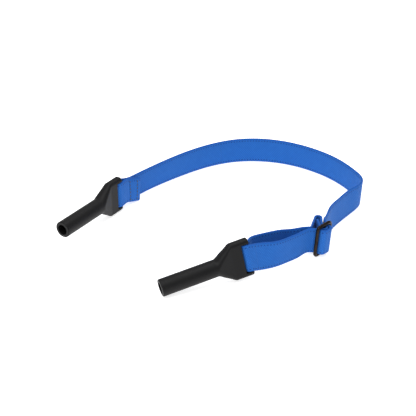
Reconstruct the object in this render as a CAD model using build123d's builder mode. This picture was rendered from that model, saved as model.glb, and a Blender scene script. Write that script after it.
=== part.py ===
from build123d import *

import os
from math import ceil, cos, hypot, radians, sin, sqrt

# An eyeglass retainer strap: one flat woven band, stood on edge on a table in a horseshoe. A moulded
# silicone sleeve hangs on each end of it, and a wire three-bar slider sets its length beside the near one.
# Millimetres. X runs along the longest side of the horseshoe, -Y is its open side, +Z is up, and the origin
# is on the table under the middle of the whole strap.

# Woven band
BAND_W = 15.0                  # width, which stands upright
BAND_T = 1.25                  # thickness of one layer
SECTION_STEP = 3.0             # spacing of the band's cross-sections along a gentle run
PLY_GAP = 0.05                 # air between two layers that are sewn together
LENGTH_GAP = 0.2               # between two lengths of the band that move apart

# Temple sleeve, measured along its axis from the open mouth
TUBE_R = 4.5
BORE_R = 2.9
BORE_DEPTH = 30.0
# how far the round tube has spread into the flat flange, as a share, at distances from the mouth
FLARE = ((28.9, 0.0), (30.0, 0.02), (31.2, 0.143), (34.2, 0.5), (37.2, 0.857), (38.4, 0.98), (39.5, 1.0))
SLEEVE_LENGTH = 48.3
FLANGE_W = 20.6
FLANGE_T = 4.8
FLANGE_EDGE_R = 2.0
FULL_ROUND = 0.02              # what a corner's radius falls short of half the side, where the tube is round
MOUTH_EDGE_R = 0.6
END_EDGE_R = 0.9
EYE_START = 43.9               # the eye that the band passes through, up to the round end bar
EYE_LENGTH = 16.0
END_BAR_R = 1.4
END_BAR_AT = 46.9
FOLD_CLEARANCE = 0.1           # between the end bar and the band folded round it

# Three-bar slider
WIRE_D = 1.8
CENTRE_BAR_D = 1.6
BAR_SPACING = 5.0              # from the centre bar to each long bar
SLIDER_HEIGHT = 17.4           # between the centres of the two short sides
SLIDER_CORNER_R = 1.9
SLIDER_AT = (55.2, -33.0, 9.65)
SLIDER_TURN = 45.0             # direction from the near long bar to the far one, in plan
SLIDER_LEAN = 4.0              # its top leans this far out of the horseshoe, in degrees
LOOP_TURN = -30.0              # from the slider's own plan to the sewn loop's

# Sewing thread
THREAD_D = 0.4
STITCH_LENGTH = 1.5
STITCH_PITCH = 2.2
STITCHES = 6
HEM_ROWS = (0.14, 0.82)        # the two seams across the hem, as shares of its length
LOOP_SEAM_AT = 4.6             # the seam across the sewn loop, from the slider towards the loop's tip

fold_r = END_BAR_R + FOLD_CLEARANCE + BAND_T / 2     # middle of the band where it turns round an end bar
half_w = BAND_W / 2


def sleeve_plane(mouth, azimuth, pitch, roll):
    """At the mouth: z runs down the sleeve's axis, x is across the flange, y is square to its outer face."""
    a, p, r = radians(azimuth), radians(pitch), radians(roll)
    axis = Vector(cos(a) * cos(p), sin(a) * cos(p), sin(p))
    outward = Vector(sin(a), -cos(a), 0)
    upright = outward.cross(axis)
    return Plane(origin=mouth, x_dir=upright * cos(r) + outward * sin(r), z_dir=axis)


near_plane = sleeve_plane((-27.3, -70.6, 4.5), 21.4, 9.3, -8.7)
far_plane = sleeve_plane((-80.2, -25.4, 10.4), 56.0, 0.0, 0.0)


def end_bar_plane(sleeve):
    """Centred on the end bar: z is the bar's axis, x points away from the mouth, y is the sleeve's outer side."""
    centre = sleeve.origin + sleeve.z_dir * END_BAR_AT
    return Plane(origin=centre, x_dir=sleeve.z_dir, z_dir=sleeve.x_dir * -1)


turn, lean = radians(SLIDER_TURN), radians(SLIDER_LEAN)
slider_x = Vector(cos(turn), sin(turn), 0)
slider_out = Vector(sin(turn), -cos(turn), 0)
slider_up = Vector(0, 0, cos(lean)) + slider_out * sin(lean)
# the slider's plan: x from bar to bar, y into the horseshoe, z up its bars
slider_plan = Plane(origin=SLIDER_AT, x_dir=slider_x, z_dir=slider_up)
# the sewn loop's plan: the same, turned so that y runs to the loop's tip
loop_turn = radians(LOOP_TURN)
loop_x = slider_plan.x_dir * cos(loop_turn) + slider_plan.y_dir * sin(loop_turn)
loop_plan = Plane(origin=SLIDER_AT, x_dir=loop_x, z_dir=slider_up)
# the slider's face: x from bar to bar, y up its bars, z out of the horseshoe
slider_face = Plane(origin=SLIDER_AT, x_dir=slider_x, z_dir=slider_x.cross(slider_up))


# ---------------------------------------------------------------- routes of the band
def standing(x, y, z, lean_x=0.0, lean_y=0.0):
    """A station of the band: its foot, and its top edge, which leans by lean_x and lean_y."""
    rise = sqrt(BAND_W**2 - lean_x**2 - lean_y**2)
    return Vector(x, y, z), Vector(x + lean_x, y + lean_y, z + rise)


def at_fold(sleeve, side, beyond=0.0):
    """The station beyond an end bar, where the band leaves it on its outer side (1) or its inner side (-1)."""
    centre = sleeve.origin + sleeve.z_dir * (END_BAR_AT + beyond) + sleeve.y_dir * (side * fold_r)
    return centre - sleeve.x_dir * half_w, centre + sleeve.x_dir * half_w


def off_slider(plan, path, beyond):
    """The station beyond the first point of a path drawn in a plan, in line with its first run."""
    (x, y), (x_next, y_next) = path[:2]
    run = hypot(x - x_next, y - y_next)
    centre = Vector(x + (x - x_next) / run * beyond, y + (y - y_next) / run * beyond, 0)
    centre = plan.from_local_coords(centre)
    return centre - slider_up * half_w, centre + slider_up * half_w


# over the centre bar, in the slider's plan: in beside the near bar, out beside the far bar
OVER_BAR = [(-4.63, 2.02), (-3.15, 0.5), (-3.15, -2.95), (3.15, -2.95), (3.15, 0.6), (5.0, 3.07)]
OVER_BAR_R = [1.2, 1.9, 1.9, 1.6]
# the sewn end, in the loop's plan: from the inner leg, up into the loop that stands off the slider, back down
# to the centre bar, round it and up inside the loop, where the cut end is sewn
SEWN_LOOP = [(-9.07, 1.7), (-6.45, 1.41), (-0.24, 11.43), (2.25, 10.28), (0.05, 3.5), (1.525, 1.2),
             (1.525, -1.525), (-1.525, -1.525), (-1.525, 1.0), (-0.85, 7.6)]
SEWN_LOOP_R = [1.3, 1.5, 1.5, 2.0, 1.5, 1.5, 1.5, 4.0]

MAIN_ROUTE = [
    at_fold(far_plane, -1, LENGTH_GAP), at_fold(far_plane, -1, 2.5),
    standing(-51.4, 20.4, 1.6, 0.0, -0.4), standing(-44.5, 30.2, 0.0, -0.3, -1.8),
    standing(-30.0, 45.2, 0.0, -0.2, -1.4), standing(-16.5, 56.6, 0.0, 0.0, -0.3),
    standing(-1.5, 66.6, 0.0), standing(13.0, 71.9, 0.0, 0.0, 0.6), standing(28.0, 72.5, 0.0, 0.0, 0.9),
    standing(42.2, 69.1, 0.0, 0.1, 0.6), standing(56.0, 61.4, 0.0, 0.2, 0.4),
    standing(69.4, 48.6, 0.0, 0.3, 0.6), standing(79.2, 32.0, 0.0, 0.3, 1.1),
    standing(81.5, 20.6, 0.0, 1.0, 1.6), standing(79.3, 15.3, 0.0, 1.3, 1.9),
    standing(74.6, 8.7, 0.0, 0.0, 2.0), standing(68.2, 0.0, 0.2, -0.1, 1.5),
    standing(61.4, -11.8, 0.6, -0.3, 1.2), standing(57.4, -21.8, 1.5, 0.2, 0.0),
    off_slider(slider_plan, OVER_BAR[::-1], 2.2), off_slider(slider_plan, OVER_BAR[::-1], LENGTH_GAP),
]
# where the band is cut into lengths that move as one, in millimetres along the main route
MAIN_SPANS = {
    "webbing_left_arm": (0.0, 36.0),
    "webbing_left_flex": (36.0, 60.0),
    "webbing_back_arc": (60.0, 104.0),
    "webbing_right_flex": (104.0, 128.0),
    "webbing_right_bend": (128.0, 192.0),
    "webbing_return": (192.0, None),
}
FRONT_LEG = [
    off_slider(slider_plan, OVER_BAR, LENGTH_GAP), off_slider(slider_plan, OVER_BAR, 2.0),
    standing(43.2, -37.8, 1.9, 0.0, -0.5),
    standing(38.0, -42.2, 1.9, 0.0, -0.2), standing(30.5, -48.2, 2.5, -0.4, 0.1),
    standing(23.5, -52.6, 3.5, -1.6, 1.8), at_fold(near_plane, 1, LENGTH_GAP),
]
INNER_LEG = [
    off_slider(loop_plan, SEWN_LOOP, LENGTH_GAP), off_slider(loop_plan, SEWN_LOOP, 1.5),
    standing(43.0, -33.9, 2.0), standing(33.0, -36.4, 2.2), standing(24.6, -41.2, 2.9, -0.8, 0.3),
    standing(19.2, -47.0, 3.9, -2.2, 0.8),
    at_fold(near_plane, -1, 1.5), at_fold(near_plane, -1, LENGTH_GAP),
]
FAR_TAB = [
    at_fold(far_plane, 1, LENGTH_GAP), at_fold(far_plane, 1, 1.5),
    standing(-50.4, 15.3, 3.0), standing(-48.8, 18.4, 2.3),
]
# the hem: the band's end turned under itself, two layers thick, from the crease to its fold
FAR_HEM = [
    standing(-49.3, 19.0, 2.1), standing(-46.7, 21.9, 1.0, 0.4, -0.3), standing(-44.1, 24.7, 0.1, 0.8, -0.6),
]


def route_lines(stations):
    """The foot line and the top line of a stretch of band."""
    with BuildLine():
        foot = Spline(*[s[0] for s in stations])
        top = Spline(*[s[1] for s in stations])
    return foot, top


def cross_section(foot, top, t):
    """The plane of the band's section at t: x up the band, z along it."""
    low, high = foot @ t, top @ t
    up = (high - low).normalized()
    along = (foot % t) + (top % t)
    along = (along - up * along.dot(up)).normalized()
    return Plane(origin=(low + high) / 2, x_dir=up, z_dir=along)


def sections(lines, first=0.0, last=1.0):
    foot, top = lines
    count = max(3, ceil(foot.length * (last - first) / SECTION_STEP) + 1)
    return [cross_section(foot, top, first + (last - first) * i / (count - 1)) for i in range(count)]


def write(part, name):
    part.label = name
    export_step(part, f"parts/{name}.step")
    print(f"{name:22s} {part.volume:9.2f} mm3")


os.makedirs("parts", exist_ok=True)


# ---------------------------------------------------------------- temple sleeves
def flare_section(share):
    """Width, thickness and corner radius of the sleeve where it has spread by a share, from the round tube."""
    tube = (2 * TUBE_R, 2 * TUBE_R, TUBE_R - FULL_ROUND)
    flange = (FLANGE_W, FLANGE_T, FLANGE_EDGE_R)
    return [a + (b - a) * share for a, b in zip(tube, flange)]


def make_sleeve(name, plane):
    bar = end_bar_plane(plane)
    with BuildPart() as sleeve:
        flare_start, flare_end = FLARE[0][0], FLARE[-1][0]
        with BuildSketch(plane):
            RectangleRounded(*flare_section(0.0))
        extrude(amount=flare_start)
        # shoulders: the round tube spreads into the flat flange
        for distance, share in FLARE:
            with BuildSketch(plane.offset(distance)):
                RectangleRounded(*flare_section(share))
        loft()
        with BuildSketch(plane.offset(flare_end)):
            RectangleRounded(*flare_section(1.0))
        extrude(amount=SLEEVE_LENGTH - flare_end)
        by_depth = sleeve.faces().sort_by(Axis(plane.origin, plane.z_dir))
        fillet(by_depth[0].edges(), MOUTH_EDGE_R)
        fillet(by_depth[-1].edges(), END_EDGE_R)
        # eye, open to the end, then the round bar that closes it
        with BuildSketch(plane.offset(EYE_START)):
            Rectangle(EYE_LENGTH, 2 * TUBE_R)
        extrude(amount=SLEEVE_LENGTH, mode=Mode.SUBTRACT)
        with BuildSketch(bar):
            Circle(END_BAR_R)
        extrude(amount=EYE_LENGTH / 2 + 0.5, both=True)
        # blind bore for the end of a temple
        with BuildSketch(plane):
            Circle(BORE_R)
        extrude(amount=BORE_DEPTH, mode=Mode.SUBTRACT)
    write(sleeve.part, name)


make_sleeve("far_sleeve", far_plane)
make_sleeve("near_sleeve", near_plane)


# ---------------------------------------------------------------- three-bar slider
wire_corners = [(x * BAR_SPACING, y * SLIDER_HEIGHT / 2) for x, y in ((1, -1), (1, 1), (-1, 1), (-1, -1))]
with BuildPart() as slider_frame:
    with BuildLine(slider_face) as wire:
        FilletPolyline(*wire_corners, radius=SLIDER_CORNER_R, close=True)
    with BuildSketch(Plane(origin=wire.line @ 0, z_dir=wire.line % 0)):
        Circle(WIRE_D / 2)
    sweep(path=wire.line)
write(slider_frame.part, "slider_frame")

with BuildPart() as slider_centre_bar:
    with BuildSketch(slider_plan):
        Circle(CENTRE_BAR_D / 2)
    extrude(amount=SLIDER_HEIGHT / 2, both=True)
    add(slider_frame.part, mode=Mode.SUBTRACT)
write(slider_centre_bar.part, "slider_centre_bar")


# ---------------------------------------------------------------- woven band
def make_run(name, planes, thickness=BAND_T):
    """A stretch of band through its cross-sections."""
    with BuildPart() as run:
        for plane in planes:
            with BuildSketch(plane):
                Rectangle(BAND_W, thickness)
        loft(ruled=True)
    write(run.part, name)


def make_fold(name, sleeve):
    """The half turn of the band round a sleeve's end bar."""
    with BuildPart() as fold:
        with BuildSketch(end_bar_plane(sleeve)):
            Circle(fold_r + BAND_T / 2)
            Circle(fold_r - BAND_T / 2, mode=Mode.SUBTRACT)
            Rectangle(3 * fold_r, 4 * fold_r, align=(Align.MIN, Align.CENTER), mode=Mode.SUBTRACT)
        extrude(amount=half_w, both=True)
    write(fold.part, name)


def make_laced(name, plan, points, radii):
    """A stretch of band laced through the slider, drawn in a plan."""
    with BuildPart() as laced:
        with BuildSketch(plan):
            with BuildLine():
                FilletPolyline(*points, radius=radii)
            trace(line_width=BAND_T)
        extrude(amount=half_w, both=True)
    write(laced.part, name)


main_lines = route_lines(MAIN_ROUTE)
main_length = main_lines[0].length
for name, (first, last) in MAIN_SPANS.items():
    last = main_length if last is None else last
    make_run(name, sections(main_lines, first / main_length, last / main_length))

make_fold("webbing_far_fold", far_plane)
make_fold("webbing_near_fold", near_plane)
make_laced("webbing_over_bar", slider_plan, OVER_BAR, OVER_BAR_R)
make_laced("webbing_sewn_loop", loop_plan, SEWN_LOOP, SEWN_LOOP_R)

front_lines = route_lines(FRONT_LEG)
make_run("webbing_front_leg", sections(front_lines))
inner_lines = route_lines(INNER_LEG)
make_run("webbing_inner_leg", sections(inner_lines))

tab_lines = route_lines(FAR_TAB)
hem_lines = route_lines(FAR_HEM)
with BuildPart() as far_tab:
    for plane in sections(tab_lines):
        with BuildSketch(plane):
            Rectangle(BAND_W, BAND_T)
    loft(ruled=True)
    for plane in sections(hem_lines):
        with BuildSketch(plane):
            Rectangle(BAND_W, 2 * BAND_T + PLY_GAP)
    loft(ruled=True)
write(far_tab.part, "webbing_far_tab")


# ---------------------------------------------------------------- sewing thread
def make_stitches(name, seams):
    """Rows of stitches across the band. A seam's plane has x up the band and z out of its surface."""
    with BuildPart() as stitches:
        for seam in seams:
            with BuildSketch(seam):
                with GridLocations(STITCH_PITCH, 0, STITCHES, 1):
                    SlotOverall(STITCH_LENGTH, THREAD_D)
            extrude(amount=THREAD_D / 2)
    write(stitches.part, name)


hem_planes = [cross_section(*hem_lines, at) for at in HEM_ROWS]
hem_out = BAND_T + PLY_GAP
make_stitches("far_tab_stitches", [
    Plane(origin=p.origin + p.y_dir * hem_out, x_dir=p.x_dir, z_dir=p.y_dir) for p in hem_planes
])
# the seam goes through the layer that comes down from the tip, and shows on its outer face
tip_x, tip_y = SEWN_LOOP[3]
pinch_x, pinch_y = SEWN_LOOP[4]
seam_x = pinch_x + (tip_x - pinch_x) * (LOOP_SEAM_AT - pinch_y) / (tip_y - pinch_y)
loop_down = loop_plan.x_dir * (pinch_x - tip_x) + loop_plan.y_dir * (pinch_y - tip_y)
loop_out = slider_up.cross(loop_down.normalized()) * -1
loop_seam = loop_plan.from_local_coords(Vector(seam_x, LOOP_SEAM_AT, 0)) + loop_out * (BAND_T / 2 + PLY_GAP)
make_stitches("sewn_loop_stitches", [Plane(origin=loop_seam, x_dir=slider_up, z_dir=loop_out)])

print("main route", round(main_length, 1), "front leg", round(front_lines[0].length, 1),
      "inner leg", round(inner_lines[0].length, 1), "tab", round(tab_lines[0].length, 1))
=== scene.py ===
from math import acos, cos, hypot, pi, radians, sin, tan

import bpy
import numpy as np
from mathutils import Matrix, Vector


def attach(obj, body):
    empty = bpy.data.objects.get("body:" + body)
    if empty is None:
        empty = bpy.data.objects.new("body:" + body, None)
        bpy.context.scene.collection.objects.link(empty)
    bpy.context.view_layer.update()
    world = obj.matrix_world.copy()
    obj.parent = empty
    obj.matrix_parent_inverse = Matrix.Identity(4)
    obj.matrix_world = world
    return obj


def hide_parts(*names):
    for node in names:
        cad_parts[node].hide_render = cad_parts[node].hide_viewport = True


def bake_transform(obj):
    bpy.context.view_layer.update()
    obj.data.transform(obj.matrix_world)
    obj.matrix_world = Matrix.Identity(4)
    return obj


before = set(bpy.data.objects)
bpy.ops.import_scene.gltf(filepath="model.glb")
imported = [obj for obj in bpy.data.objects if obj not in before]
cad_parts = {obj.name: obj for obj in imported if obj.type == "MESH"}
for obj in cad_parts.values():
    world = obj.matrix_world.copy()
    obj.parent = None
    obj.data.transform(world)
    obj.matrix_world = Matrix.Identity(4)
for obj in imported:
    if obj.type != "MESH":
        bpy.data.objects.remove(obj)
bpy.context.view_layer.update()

# The looks of an eyeglass retainer strap: one flat woven band in a horseshoe, a silicone sleeve on each end
# of it and a wire three-bar slider beside the near one. Lengths are worked out in millimetres, as in the CAD
# source, and meshes are made in metres.
MM = 0.001

# ---------------------------------------------------------------- sizes shared with the CAD source
BAND_W = 15.0
BAND_T = 1.25
PLY_GAP = 0.05
END_BAR_R = 1.4
END_BAR_AT = 46.9
FOLD_CLEARANCE = 0.1
FOLD_R = END_BAR_R + FOLD_CLEARANCE + BAND_T / 2
SLIDER_AT = (55.2, -33.0, 9.65)
SLIDER_TURN = 45.0
SLIDER_LEAN = 4.0
LOOP_TURN = -30.0

THREAD_D = 0.4
STITCH_LENGTH = 1.5
STITCH_PITCH = 2.2
STITCHES = 6
HEM_ROWS = (0.14, 0.82)
LOOP_SEAM_AT = 4.6

# ---------------------------------------------------------------- sizes of the band's mesh and weave
STEP = 0.3                     # between cross-sections, along the band
TURN_STEP = 0.2                # between points of a tight turn
SELVEDGE_R = 0.5               # rounding of the woven edges
SCALLOP = 0.05                 # how far the weft's turns stand out of an edge
SCALLOP_PITCH = 1.2
FLAT_POINTS = 9                # across one face of the outline
EDGE_STEPS = 6                 # round one of its edges
HEM_FOLD_STEPS = 10
WARP_HALF = 0.78               # half the repeat of the weave across the band, in the cosine that draws it
PICK_HALF = 0.62               # the same, along the band
SELVEDGE_FROM = 6.5            # from the middle line, where the denser edge begins
DASH_ROW_AT = 6.05             # from the middle line, a row of dashes just inside each edge
DASH_ROW_HALF = 0.34
DASH_PITCH = 1.7

# ---------------------------------------------------------------- sewing thread's mesh
STITCH_RINGS, STITCH_SIDES = 9, 8
THREAD_EXTRA = 0.05            # added to the thread's radius, so that it stands clear of the weave


# ---------------------------------------------------------------- frames of the sleeves and the slider
class Axes:
    """A place with three directions: x, y and z, as in the CAD source's planes."""

    def __init__(self, origin, x, y, z):
        self.origin, self.x, self.y, self.z = (np.array(v, float) for v in (origin, x, y, z))

    def at(self, x, y, z=0.0):
        return self.origin + self.x * x + self.y * y + self.z * z


def sleeve_axes(mouth, azimuth, pitch, roll):
    """At the mouth: z down the sleeve's axis, x across the flange, y square to its outer face."""
    a, p, r = radians(azimuth), radians(pitch), radians(roll)
    axis = np.array((cos(a) * cos(p), sin(a) * cos(p), sin(p)))
    outward = np.array((sin(a), -cos(a), 0.0))
    across = np.cross(outward, axis) * cos(r) + outward * sin(r)
    return Axes(mouth, across, np.cross(axis, across), axis)


near = sleeve_axes((-27.3, -70.6, 4.5), 21.4, 9.3, -8.7)
far = sleeve_axes((-80.2, -25.4, 10.4), 56.0, 0.0, 0.0)

turn, lean = radians(SLIDER_TURN), radians(SLIDER_LEAN)
slider_x = np.array((cos(turn), sin(turn), 0.0))
slider_out = np.array((sin(turn), -cos(turn), 0.0))
slider_up = np.array((0.0, 0.0, cos(lean))) + slider_out * sin(lean)
slider = Axes(SLIDER_AT, slider_x, np.cross(slider_up, slider_x), slider_up)
# the sewn loop's plan: the slider's, turned so that y runs to the loop's tip
loop_turn = radians(LOOP_TURN)
loop_x = slider.x * cos(loop_turn) + slider.y * sin(loop_turn)
loop = Axes(SLIDER_AT, loop_x, np.cross(slider_up, loop_x), slider_up)


# ---------------------------------------------------------------- the band's route
def standing(x, y, z, lean_x=0.0, lean_y=0.0):
    """A station of the band: its foot, and its top edge, which leans by lean_x and lean_y."""
    rise = (BAND_W**2 - lean_x**2 - lean_y**2) ** 0.5
    return np.array((x, y, z)), np.array((x + lean_x, y + lean_y, z + rise))


def across(centre, up):
    return centre - up * BAND_W / 2, centre + up * BAND_W / 2


def at_fold(sleeve, side, beyond=0.0):
    """The station beyond an end bar, where the band leaves it, outer side (1) or inner side (-1)."""
    return across(sleeve.at(0, side * FOLD_R, END_BAR_AT + beyond), sleeve.x)


def off_slider(plan, path, beyond=0.0):
    """The station beyond the first point of a path drawn in a plan, in line with its first run."""
    (x, y), (x_next, y_next) = path[:2]
    run = hypot(x - x_next, y - y_next)
    return across(plan.at(x + (x - x_next) / run * beyond, y + (y - y_next) / run * beyond), plan.z)


# over the centre bar, in the slider's plan: in beside the near bar, out beside the far bar
OVER_BAR = [(-4.63, 2.02), (-3.15, 0.5), (-3.15, -2.95), (3.15, -2.95), (3.15, 0.6), (5.0, 3.07)]
OVER_BAR_R = [1.2, 1.9, 1.9, 1.6]
# the sewn end, in the loop's plan: from the inner leg, up into the loop that stands off the slider, back down
# to the centre bar, round it and up inside the loop, where the cut end is sewn
SEWN_LOOP = [(-9.07, 1.7), (-6.45, 1.41), (-0.24, 11.43), (2.25, 10.28), (0.05, 3.5), (1.525, 1.2),
             (1.525, -1.525), (-1.525, -1.525), (-1.525, 1.0), (-0.85, 7.6)]
SEWN_LOOP_R = [1.3, 1.5, 1.5, 2.0, 1.5, 1.5, 1.5, 4.0]

MAIN_ROUTE = [
    at_fold(far, -1), at_fold(far, -1, 2.5),
    standing(-51.4, 20.4, 1.6, 0.0, -0.4), standing(-44.5, 30.2, 0.0, -0.3, -1.8),
    standing(-30.0, 45.2, 0.0, -0.2, -1.4), standing(-16.5, 56.6, 0.0, 0.0, -0.3),
    standing(-1.5, 66.6, 0.0), standing(13.0, 71.9, 0.0, 0.0, 0.6), standing(28.0, 72.5, 0.0, 0.0, 0.9),
    standing(42.2, 69.1, 0.0, 0.1, 0.6), standing(56.0, 61.4, 0.0, 0.2, 0.4),
    standing(69.4, 48.6, 0.0, 0.3, 0.6), standing(79.2, 32.0, 0.0, 0.3, 1.1),
    standing(81.5, 20.6, 0.0, 1.0, 1.6), standing(79.3, 15.3, 0.0, 1.3, 1.9),
    standing(74.6, 8.7, 0.0, 0.0, 2.0), standing(68.2, 0.0, 0.2, -0.1, 1.5),
    standing(61.4, -11.8, 0.6, -0.3, 1.2), standing(57.4, -21.8, 1.5, 0.2, 0.0),
    off_slider(slider, OVER_BAR[::-1], 2.2), off_slider(slider, OVER_BAR[::-1]),
]
FRONT_LEG = [
    off_slider(slider, OVER_BAR), off_slider(slider, OVER_BAR, 2.0),
    standing(43.2, -37.8, 1.9, 0.0, -0.5),
    standing(38.0, -42.2, 1.9, 0.0, -0.2), standing(30.5, -48.2, 2.5, -0.4, 0.1),
    standing(23.5, -52.6, 3.5, -1.6, 1.8), at_fold(near, 1),
]
INNER_LEG = [
    off_slider(loop, SEWN_LOOP), off_slider(loop, SEWN_LOOP, 1.5),
    standing(43.0, -33.9, 2.0), standing(33.0, -36.4, 2.2), standing(24.6, -41.2, 2.9, -0.8, 0.3),
    standing(19.2, -47.0, 3.9, -2.2, 0.8),
    at_fold(near, -1, 1.5), at_fold(near, -1),
]
FAR_TAB = [at_fold(far, 1), at_fold(far, 1, 1.5), standing(-50.4, 15.3, 3.0), standing(-48.8, 18.4, 2.3)]
# the hem: the band's end turned under itself, from the crease to its fold
FAR_HEM = [
    standing(-49.3, 19.0, 2.1), standing(-46.7, 21.9, 1.0, 0.4, -0.3), standing(-44.1, 24.7, 0.1, 0.8, -0.6),
]
# where the main route is cut, in millimetres along it
LEFT_FLEX = (36.0, 60.0)
BACK_MIDDLE = 82.0
RIGHT_FLEX = (104.0, 128.0)
RIGHT_BEND_END = 192.0
FOLD_REACH = 4.5               # the near fold's piece runs this far onto each leg


def spline(stations):
    """Closely spaced stations on natural cubic splines through the feet and the tops of some stations."""
    rows = np.array([np.concatenate(s) for s in stations])
    knots = np.concatenate(([0.0], np.cumsum(np.linalg.norm(np.diff(rows[:, :3], axis=0), axis=1))))
    h = np.diff(knots)
    slope = np.diff(rows, axis=0) / h[:, None]
    system = np.eye(len(rows))
    right = np.zeros_like(rows)
    for i in range(1, len(rows) - 1):
        system[i, i - 1:i + 2] = h[i - 1], 2 * (h[i - 1] + h[i]), h[i]
        right[i] = 6 * (slope[i] - slope[i - 1])
    bend = np.linalg.solve(system, right)
    at = np.linspace(0.0, knots[-1], round(knots[-1] / STEP) + 1)
    k = np.clip(np.searchsorted(knots, at, side="right") - 1, 0, len(h) - 1)
    a, b, w = (knots[k + 1] - at)[:, None], (at - knots[k])[:, None], h[k][:, None]
    return (
        (bend[k] * a**3 + bend[k + 1] * b**3) / (6 * w)
        + (rows[k] / w - bend[k] * w / 6) * a
        + (rows[k + 1] / w - bend[k + 1] * w / 6) * b
    )


def laced(plan, points, radii):
    """Stations along straight runs joined by arcs, drawn in a plan."""
    line = [np.array(points[0])]
    for before, corner, after, radius in zip(points, points[1:], points[2:], radii):
        corner = np.array(corner)
        into = corner - before
        out = np.array(after) - corner
        into, out = into / np.linalg.norm(into), out / np.linalg.norm(out)
        angle = acos(np.clip(into @ out, -1, 1))
        cut = radius * tan(angle / 2)
        inward = (out - into) / np.linalg.norm(out - into)
        centre = corner + inward * (radius / cos(angle / 2))
        steps = max(3, round(radius * angle / TURN_STEP))
        arm = corner - into * cut - centre
        side = np.sign(into[0] * out[1] - into[1] * out[0])
        for i in range(steps + 1):
            c, s = cos(side * angle * i / steps), sin(side * angle * i / steps)
            line.append(centre + np.array((c * arm[0] - s * arm[1], s * arm[0] + c * arm[1])))
    line.append(np.array(points[-1]))
    return np.array([np.concatenate(across(plan.at(*p), plan.z)) for p in line])


def half_turn(sleeve):
    """Stations round a sleeve's end bar, from its outer side to its inner side."""
    steps = round(pi * FOLD_R / TURN_STEP)
    turned = [(i * pi / steps) for i in range(steps + 1)]
    return np.array([
        np.concatenate(across(sleeve.at(0, cos(a) * FOLD_R, END_BAR_AT - sin(a) * FOLD_R), sleeve.x))
        for a in turned
    ])


def along_and_out(stations):
    """Unit directions at each station: along the band, up it, and out of its face."""
    centre = (stations[:, :3] + stations[:, 3:]) / 2
    up = stations[:, 3:] - stations[:, :3]
    up = up / np.linalg.norm(up, axis=1)[:, None]
    along = np.gradient(centre, axis=0)
    along -= up * np.sum(along * up, axis=1)[:, None]
    along /= np.linalg.norm(along, axis=1)[:, None]
    return along, up, np.cross(along, up)


def hem():
    """Stations of the turned-under end: from its cut edge, round the hem's fold, and out to the crease."""
    middle = spline(FAR_HEM)
    along, _, out = along_and_out(middle)
    half = (BAND_T + PLY_GAP) / 2
    shift = np.concatenate((out, out), axis=1) * half
    under = middle - shift
    end, end_out, end_along = middle[-1], np.tile(out[-1], 2), np.tile(along[-1], 2)
    fold = [
        end + (-end_out * cos(a) + end_along * sin(a)) * half
        for a in (pi * i / HEM_FOLD_STEPS for i in range(1, HEM_FOLD_STEPS))
    ]
    return np.concatenate((under, fold, (middle + shift)[::-1]))


def even(stations):
    """The same line with its stations evenly spaced, and the distance of each along it."""
    centre = (stations[:, :3] + stations[:, 3:]) / 2
    gaps = np.linalg.norm(np.diff(centre, axis=0), axis=1)
    keep = np.concatenate(([True], gaps > 1e-4))
    stations, centre = stations[keep], centre[keep]
    run = np.concatenate(([0.0], np.cumsum(np.linalg.norm(np.diff(centre, axis=0), axis=1))))
    at = np.linspace(0.0, run[-1], round(run[-1] / STEP) + 1)
    return np.array([np.interp(at, run, column) for column in stations.T]).T, at


def length(stations):
    centre = (stations[:, :3] + stations[:, 3:]) / 2
    return float(np.sum(np.linalg.norm(np.diff(centre, axis=0), axis=1)))


stretches = [
    ("hem", hem()),
    ("tab", spline(FAR_TAB)[::-1]),
    ("far_turn", half_turn(far)),
    ("main", spline(MAIN_ROUTE)),
    ("over_bar", laced(slider, OVER_BAR, OVER_BAR_R)[::-1]),
    ("front_leg", spline(FRONT_LEG)),
    ("near_turn", half_turn(near)),
    ("inner_leg", spline(INNER_LEG)[::-1]),
    ("sewn_loop", laced(loop, SEWN_LOOP, SEWN_LOOP_R)),
]
starts, total = {}, 0.0
for stretch, stations in stretches:
    starts[stretch] = total
    total += length(stations)
band, reach = even(np.concatenate([s for _, s in stretches]))
_, band_up, band_out = along_and_out(band)


# ---------------------------------------------------------------- meshes
def section():
    """The band's outline: across the width, out of the face, and how far each point is on an edge."""
    points = []
    half_w, half_t = BAND_W / 2, BAND_T / 2
    flats = np.linspace(-half_w + SELVEDGE_R, half_w - SELVEDGE_R, FLAT_POINTS)
    for side in (1, -1):
        points += [(v * side, half_t * side, 0.0) for v in flats]
        for i in range(1, EDGE_STEPS):
            a = pi / 2 - pi * i / EDGE_STEPS
            bulge = half_w - SELVEDGE_R + SELVEDGE_R * cos(a)
            points.append((bulge * side, half_t * sin(a) * side, cos(a) * side))
    return np.array(points)


OUTLINE = section()


def new_object(name, verts, faces):
    mesh = bpy.data.meshes.new(name)
    mesh.from_pydata([tuple(v) for v in verts], [], faces)
    mesh.polygons.foreach_set("use_smooth", [True] * len(mesh.polygons))
    obj = bpy.data.objects.new(name, mesh)
    bpy.context.scene.collection.objects.link(obj)
    return obj


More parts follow.
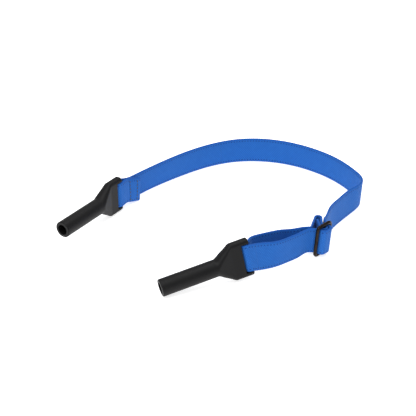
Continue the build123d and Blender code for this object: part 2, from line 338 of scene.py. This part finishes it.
def ribbon(name, first, last):
    """The band between two distances along it, as a closed mesh with a UV map in centimetres."""
    i0, i1 = int(np.searchsorted(reach, first)), int(np.searchsorted(reach, last))
    i1 = min(i1, len(reach) - 1)
    rows = range(i0, i1 + 1)
    per = len(OUTLINE)
    centre = (band[:, :3] + band[:, 3:]) / 2
    verts = []
    for i in rows:
        scallop = SCALLOP * cos(2 * pi * reach[i] / SCALLOP_PITCH) * OUTLINE[:, 2]
        across_band = (OUTLINE[:, 0] + scallop)[:, None] * band_up[i]
        verts.append(centre[i] + across_band + OUTLINE[:, 1][:, None] * band_out[i])
    verts = np.concatenate(verts) * MM
    faces = []
    for r in range(len(rows) - 1):
        for k in range(per):
            a, b = r * per + k, r * per + (k + 1) % per
            faces.append((a, b, b + per, a + per))
    last_row = (len(rows) - 1) * per
    faces.append(tuple(reversed(range(per))))
    faces.append(tuple(range(last_row, last_row + per)))
    obj = new_object(name, verts, faces)
    mesh = obj.data
    mesh.polygons[-1].use_smooth = mesh.polygons[-2].use_smooth = False
    uv = mesh.uv_layers.new(name="band")
    at = np.array([(reach[i0 + v // per] / 10, OUTLINE[v % per, 0] / 10) for v in range(len(verts))])
    loops = np.zeros(len(mesh.loops), int)
    mesh.loops.foreach_get("vertex_index", loops)
    uv.data.foreach_set("uv", at[loops].ravel())
    return obj, (reach[i1] - reach[i0]) * MM, centre[i0] * MM, centre[i1] * MM


# ---------------------------------------------------------------- materials
BLUE_DEEP = (0.009, 0.105, 0.43)
BLUE_LIGHT = (0.014, 0.134, 0.50)
BLUE_PICK = (0.032, 0.215, 0.68)
# painted shade for the weave's grooves; the same dark blue is also the own colour of the dash rows near each
# edge
BLUE_GROOVE_SHADE_AND_DASH = (0.003, 0.038, 0.20)
BLUE_EDGE = (0.005, 0.074, 0.36)


def material(name):
    made = bpy.data.materials.new(name)
    made.use_nodes = True
    nodes, links = made.node_tree.nodes, made.node_tree.links
    return made, nodes, links, nodes["Principled BSDF"]


def maths(nodes, links, operation, *values):
    node = nodes.new("ShaderNodeMath")
    node.operation = operation
    for socket, value in zip(node.inputs, values):
        if isinstance(value, (int, float)):
            socket.default_value = value
        else:
            links.new(value, socket)
    return node.outputs[0]


def mixed(nodes, links, factor, a, b):
    node = nodes.new("ShaderNodeMix")
    node.data_type = "RGBA"
    links.new(factor, node.inputs["Factor"])
    for socket, value in ((node.inputs["A"], a), (node.inputs["B"], b)):
        if isinstance(value, tuple):
            socket.default_value = (*value, 1.0)
        else:
            links.new(value, socket)
    return node.outputs["Result"]


def webbing_material():
    made, nodes, links, shader = material("blue_webbing")
    uv = nodes.new("ShaderNodeUVMap")
    uv.uv_map = "band"
    split = nodes.new("ShaderNodeSeparateXYZ")
    links.new(uv.outputs["UV"], split.inputs[0])

    def m(operation, *values):
        return maths(nodes, links, operation, *values)

    u, v = m("MULTIPLY", split.outputs["X"], 10.0), m("MULTIPLY", split.outputs["Y"], 10.0)
    # plain weave: warp cords along the band, picks across it
    warp = m("COSINE", m("MULTIPLY", v, pi / WARP_HALF))
    pick = m("COSINE", m("MULTIPLY", u, pi / PICK_HALF))
    cell = m("MULTIPLY", warp, pick)
    height = m("POWER", m("ABSOLUTE", cell), 0.5)
    over = m("MULTIPLY_ADD", m("SIGN", cell), 0.5, 0.5)
    # towards an edge
    edge = m("ABSOLUTE", v)
    past = m("MULTIPLY", m("SUBTRACT", edge, SELVEDGE_FROM), 1.3)
    selvedge = m("SMOOTH_MIN", m("MAXIMUM", past, 0.0), 1.0, 0.2)
    # a row of dashes just inside each edge, where the weft is bound in
    near_row = m("LESS_THAN", m("ABSOLUTE", m("SUBTRACT", edge, DASH_ROW_AT)), DASH_ROW_HALF)
    dash = m("GREATER_THAN", m("COSINE", m("MULTIPLY", u, 2 * pi / DASH_PITCH)), 0.15)
    dashes = m("MULTIPLY", near_row, dash)

    noise = nodes.new("ShaderNodeTexNoise")
    noise.inputs["Scale"].default_value = 3.0
    noise.inputs["Detail"].default_value = 3.0
    links.new(uv.outputs["UV"], noise.inputs["Vector"])
    base = mixed(nodes, links, noise.outputs["Fac"], BLUE_DEEP, BLUE_LIGHT)
    base = mixed(nodes, links, m("MULTIPLY", over, 0.28), base, BLUE_PICK)
    # painted shade: the base is darkened where the weave's height is low, down in its grooves
    base = mixed(nodes, links, m("MULTIPLY", m("SUBTRACT", 1.0, height), 0.5), base, BLUE_GROOVE_SHADE_AND_DASH)
    base = mixed(nodes, links, m("MULTIPLY", selvedge, 0.6), base, BLUE_EDGE)
    base = mixed(nodes, links, m("MULTIPLY", dashes, 0.8), base, BLUE_GROOVE_SHADE_AND_DASH)
    links.new(base, shader.inputs["Base Color"])
    rough = m("MULTIPLY_ADD", height, -0.12, 0.86)
    links.new(rough, shader.inputs["Roughness"])
    shader.inputs["Sheen Weight"].default_value = 0.12
    shader.inputs["Sheen Roughness"].default_value = 0.45
    shader.inputs["Sheen Tint"].default_value = (0.45, 0.65, 1.0, 1.0)
    shader.inputs["Specular IOR Level"].default_value = 0.2
    relief = m("SUBTRACT", height, m("MULTIPLY", dashes, 0.8))
    bump = nodes.new("ShaderNodeBump")
    bump.inputs["Strength"].default_value = 0.55
    bump.inputs["Distance"].default_value = 0.12 * MM
    links.new(relief, bump.inputs["Height"])
    links.new(bump.outputs["Normal"], shader.inputs["Normal"])
    return made


def silicone_material():
    made, nodes, links, shader = material("black_silicone")
    place = nodes.new("ShaderNodeTexCoord")
    fine = nodes.new("ShaderNodeTexNoise")
    fine.inputs["Scale"].default_value = 2600.0
    fine.inputs["Detail"].default_value = 2.0
    broad = nodes.new("ShaderNodeTexNoise")
    broad.inputs["Scale"].default_value = 90.0
    broad.inputs["Detail"].default_value = 4.0
    for noise in (fine, broad):
        links.new(place.outputs["Object"], noise.inputs["Vector"])
    base = mixed(nodes, links, broad.outputs["Fac"], (0.0030, 0.0030, 0.0034), (0.0055, 0.0055, 0.0060))
    links.new(base, shader.inputs["Base Color"])
    rough = maths(nodes, links, "MULTIPLY_ADD", broad.outputs["Fac"], 0.12, 0.44)
    links.new(rough, shader.inputs["Roughness"])
    shader.inputs["Specular IOR Level"].default_value = 0.18
    bump = nodes.new("ShaderNodeBump")
    bump.inputs["Strength"].default_value = 0.25
    bump.inputs["Distance"].default_value = 0.05 * MM
    links.new(fine.outputs["Fac"], bump.inputs["Height"])
    links.new(bump.outputs["Normal"], shader.inputs["Normal"])
    return made


def wire_material():
    made, nodes, links, shader = material("black_nickel_wire")
    place = nodes.new("ShaderNodeTexCoord")
    worn = nodes.new("ShaderNodeTexNoise")
    worn.inputs["Scale"].default_value = 420.0
    worn.inputs["Detail"].default_value = 5.0
    links.new(place.outputs["Object"], worn.inputs["Vector"])
    base = mixed(nodes, links, worn.outputs["Fac"], (0.008, 0.0065, 0.0055), (0.040, 0.029, 0.021))
    links.new(base, shader.inputs["Base Color"])
    shader.inputs["Metallic"].default_value = 1.0
    rough = maths(nodes, links, "MULTIPLY_ADD", worn.outputs["Fac"], 0.25, 0.22)
    links.new(rough, shader.inputs["Roughness"])
    bump = nodes.new("ShaderNodeBump")
    bump.inputs["Strength"].default_value = 0.15
    bump.inputs["Distance"].default_value = 0.04 * MM
    links.new(worn.outputs["Fac"], bump.inputs["Height"])
    links.new(bump.outputs["Normal"], shader.inputs["Normal"])
    return made


def thread_material():
    made, nodes, links, shader = material("dark_thread")
    place = nodes.new("ShaderNodeTexCoord")
    ply = nodes.new("ShaderNodeTexWave")
    ply.bands_direction = "DIAGONAL"
    ply.inputs["Scale"].default_value = 900.0
    links.new(place.outputs["Object"], ply.inputs["Vector"])
    base = mixed(nodes, links, ply.outputs["Fac"], (0.014, 0.030, 0.062), (0.070, 0.100, 0.15))
    links.new(base, shader.inputs["Base Color"])
    shader.inputs["Roughness"].default_value = 0.6
    bump = nodes.new("ShaderNodeBump")
    bump.inputs["Strength"].default_value = 0.4
    bump.inputs["Distance"].default_value = 0.05 * MM
    links.new(ply.outputs["Fac"], bump.inputs["Height"])
    links.new(bump.outputs["Normal"], shader.inputs["Normal"])
    return made


def dress(obj, look):
    obj.data.materials.clear()
    obj.data.materials.append(look)


webbing, silicone, wire, thread = webbing_material(), silicone_material(), wire_material(), thread_material()

# ---------------------------------------------------------------- the band's pieces
main_at = starts["main"]
fold_a, fold_b = starts["near_turn"] - FOLD_REACH, starts["inner_leg"] + FOLD_REACH
PIECES = [
    # name, from, to, body or bodies, held, rests on, stands for
    ("band_far_end", 0.0, main_at, "left_arm", "folded", ["far_sleeve"],
     ["webbing_far_tab", "webbing_far_fold"]),
    ("band_left", main_at, main_at + BACK_MIDDLE, ("left_arm", "root"), "stretched", ["band_far_end"],
     ["webbing_left_arm", "webbing_left_flex", "webbing_back_arc"]),
    ("band_right", main_at + BACK_MIDDLE, main_at + RIGHT_BEND_END, ("root", "right_arm"), "stretched",
     ["band_left"], ["webbing_right_flex", "webbing_right_bend"]),
    ("band_return", main_at + RIGHT_BEND_END, starts["over_bar"], ("right_arm", "slider"), "stretched",
     ["band_right"], ["webbing_return"]),
    ("band_over_bar", starts["over_bar"], starts["front_leg"], "slider", "folded", ["slider_centre_bar"],
     ["webbing_over_bar"]),
    ("band_front_leg", starts["front_leg"], fold_a, ("slider", "near_loop"), "stretched", ["band_over_bar"],
     ["webbing_front_leg"]),
    ("band_near_fold", fold_a, fold_b, "near_loop", "folded", ["near_sleeve"], ["webbing_near_fold"]),
    ("band_inner_leg", fold_b, starts["sewn_loop"], ("near_loop", "slider"), "stretched",
     ["band_near_fold"], ["webbing_inner_leg"]),
    ("band_sewn_loop", starts["sewn_loop"], total, "slider", "folded", ["slider_centre_bar"],
     ["webbing_sewn_loop"]),
]
FLEXES = {
    "band_left": tuple(main_at + x for x in LEFT_FLEX),
    "band_right": tuple(main_at + x for x in RIGHT_FLEX),
}


def place_on(distance):
    """The point on the band's middle line at a distance along it, in metres."""
    i = int(np.searchsorted(reach, distance))
    return tuple((band[i, :3] + band[i, 3:]) / 2 * MM)


for name, first, last, carried_by, held, rests_on, stands_for in PIECES:
    piece, flat_length, head, tail = ribbon(name, first, last)
    dress(piece, webbing)
    if isinstance(carried_by, str):
        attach(piece, carried_by)
    else:
        if name in FLEXES:
            head, tail = (place_on(x) for x in FLEXES[name])
        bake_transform(piece)
    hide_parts(*stands_for)

# ---------------------------------------------------------------- CAD nodes that stay
for node in ("far_sleeve", "near_sleeve"):
    dress(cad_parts[node], silicone)
for node in ("slider_frame", "slider_centre_bar"):
    dress(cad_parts[node], wire)


# ---------------------------------------------------------------- sewing thread
def stitches(name, seams, rides, stands_for):
    """Rows of short stitches up the band, each a capsule sunk at both ends. A seam is (place, up, out)."""
    rings, sides = STITCH_RINGS, STITCH_SIDES
    verts, faces = [], []
    for place, up, out in seams:
        side = np.cross(up, out)
        for k in range(STITCHES):
            middle = (k - (STITCHES - 1) / 2) * STITCH_PITCH
            first = len(verts)
            for r in range(rings):
                t = 2 * r / (rings - 1) - 1
                radius = THREAD_D / 2 * (1 - t**6) ** 0.5 + THREAD_EXTRA
                centre = place + up * (middle + t * STITCH_LENGTH / 2) + out * THREAD_D * (0.2 - 0.65 * t**4)
                for c in range(sides):
                    a = 2 * pi * c / sides
                    verts.append((centre + side * cos(a) * radius + out * sin(a) * radius) * MM)
            for r in range(rings - 1):
                for c in range(sides):
                    a, b = first + r * sides + c, first + r * sides + (c + 1) % sides
                    faces.append((b, a, a + sides, b + sides))
            faces.append(tuple(first + c for c in range(sides)))
            faces.append(tuple(first + (rings - 1) * sides + c for c in reversed(range(sides))))
    made = new_object(name, verts, faces)
    dress(made, thread)
    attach(made, rides)
    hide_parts(stands_for)


hem_line = spline(FAR_HEM)
_, hem_up, hem_out = along_and_out(hem_line)
hem_seams = []
for share in HEM_ROWS:
    i = round(share * (len(hem_line) - 1))
    middle = (hem_line[i, :3] + hem_line[i, 3:]) / 2
    out = -hem_out[i] if hem_out[i] @ far.y < 0 else hem_out[i]
    hem_seams.append((middle + out * (BAND_T + PLY_GAP / 2), hem_up[i], out))
stitches("thread_far_seam", hem_seams, "left_arm", "far_tab_stitches")

(tip_x, tip_y), (pinch_x, pinch_y) = SEWN_LOOP[3], SEWN_LOOP[4]
seam_x = pinch_x + (tip_x - pinch_x) * (LOOP_SEAM_AT - pinch_y) / (tip_y - pinch_y)
down = loop.x * (pinch_x - tip_x) + loop.y * (pinch_y - tip_y)
loop_out = -np.cross(loop.z, down / np.linalg.norm(down))
loop_seam = loop.at(seam_x, LOOP_SEAM_AT) + loop_out * (BAND_T / 2 + PLY_GAP)
stitches("thread_loop_seam", [(loop_seam, loop.z, loop_out)], "slider", "sewn_loop_stitches")


# ---------------------------------------------------------------- floor, light and camera
def floor():
    side, drop = 3.0, 0.0003
    verts = [(x * side, y * side, -drop) for x, y in ((-1, -1), (1, -1), (1, 1), (-1, 1))]
    obj = new_object("floor", verts, [(0, 1, 2, 3)])
    made, _, _, shader = material("white_floor")
    shader.inputs["Base Color"].default_value = (0.9, 0.9, 0.9, 1.0)
    shader.inputs["Roughness"].default_value = 0.9
    shader.inputs["Specular IOR Level"].default_value = 0.1
    shader.inputs["Emission Color"].default_value = (1.0, 1.0, 1.0, 1.0)
    shader.inputs["Emission Strength"].default_value = 0.7
    dress(obj, made)


def lamp(name, place, aim, size, power):
    data = bpy.data.lights.new(name, "AREA")
    data.shape = "DISK"
    data.size = size
    data.energy = power
    obj = bpy.data.objects.new(name, data)
    obj.location = place
    obj.rotation_euler = (Vector(aim) - Vector(place)).to_track_quat("-Z", "Y").to_euler()
    bpy.context.scene.collection.objects.link(obj)


def light():
    world = bpy.data.worlds.new("studio")
    world.use_nodes = True
    sky = world.node_tree.nodes["Background"]
    sky.inputs["Color"].default_value = (1.0, 1.0, 1.0, 1.0)
    sky.inputs["Strength"].default_value = 0.6
    bpy.context.scene.world = world
    bpy.context.scene.view_settings.view_transform = "Standard"
    middle = (0.0, 0.0, 0.01)
    lamp("key", (-0.25, -0.35, 0.75), middle, 0.5, 3.4)
    lamp("top", (0.15, 0.25, 0.9), middle, 0.6, 3.0)


def camera():
    data = bpy.data.cameras.new("camera")
    data.lens = 88.98
    data.sensor_width = 36.0
    data.clip_start, data.clip_end = 0.01, 20.0
    obj = bpy.data.objects.new("camera", data)
    aim, elevation, distance = Vector((-0.004, 0.0155, 0.0)), radians(30.0), 0.5785
    obj.location = aim + Vector((0.0, -cos(elevation), sin(elevation))) * distance
    obj.rotation_euler = (aim - obj.location).to_track_quat("-Z", "Y").to_euler()
    bpy.context.scene.collection.objects.link(obj)
    bpy.context.scene.camera = obj


floor()
light()
camera()
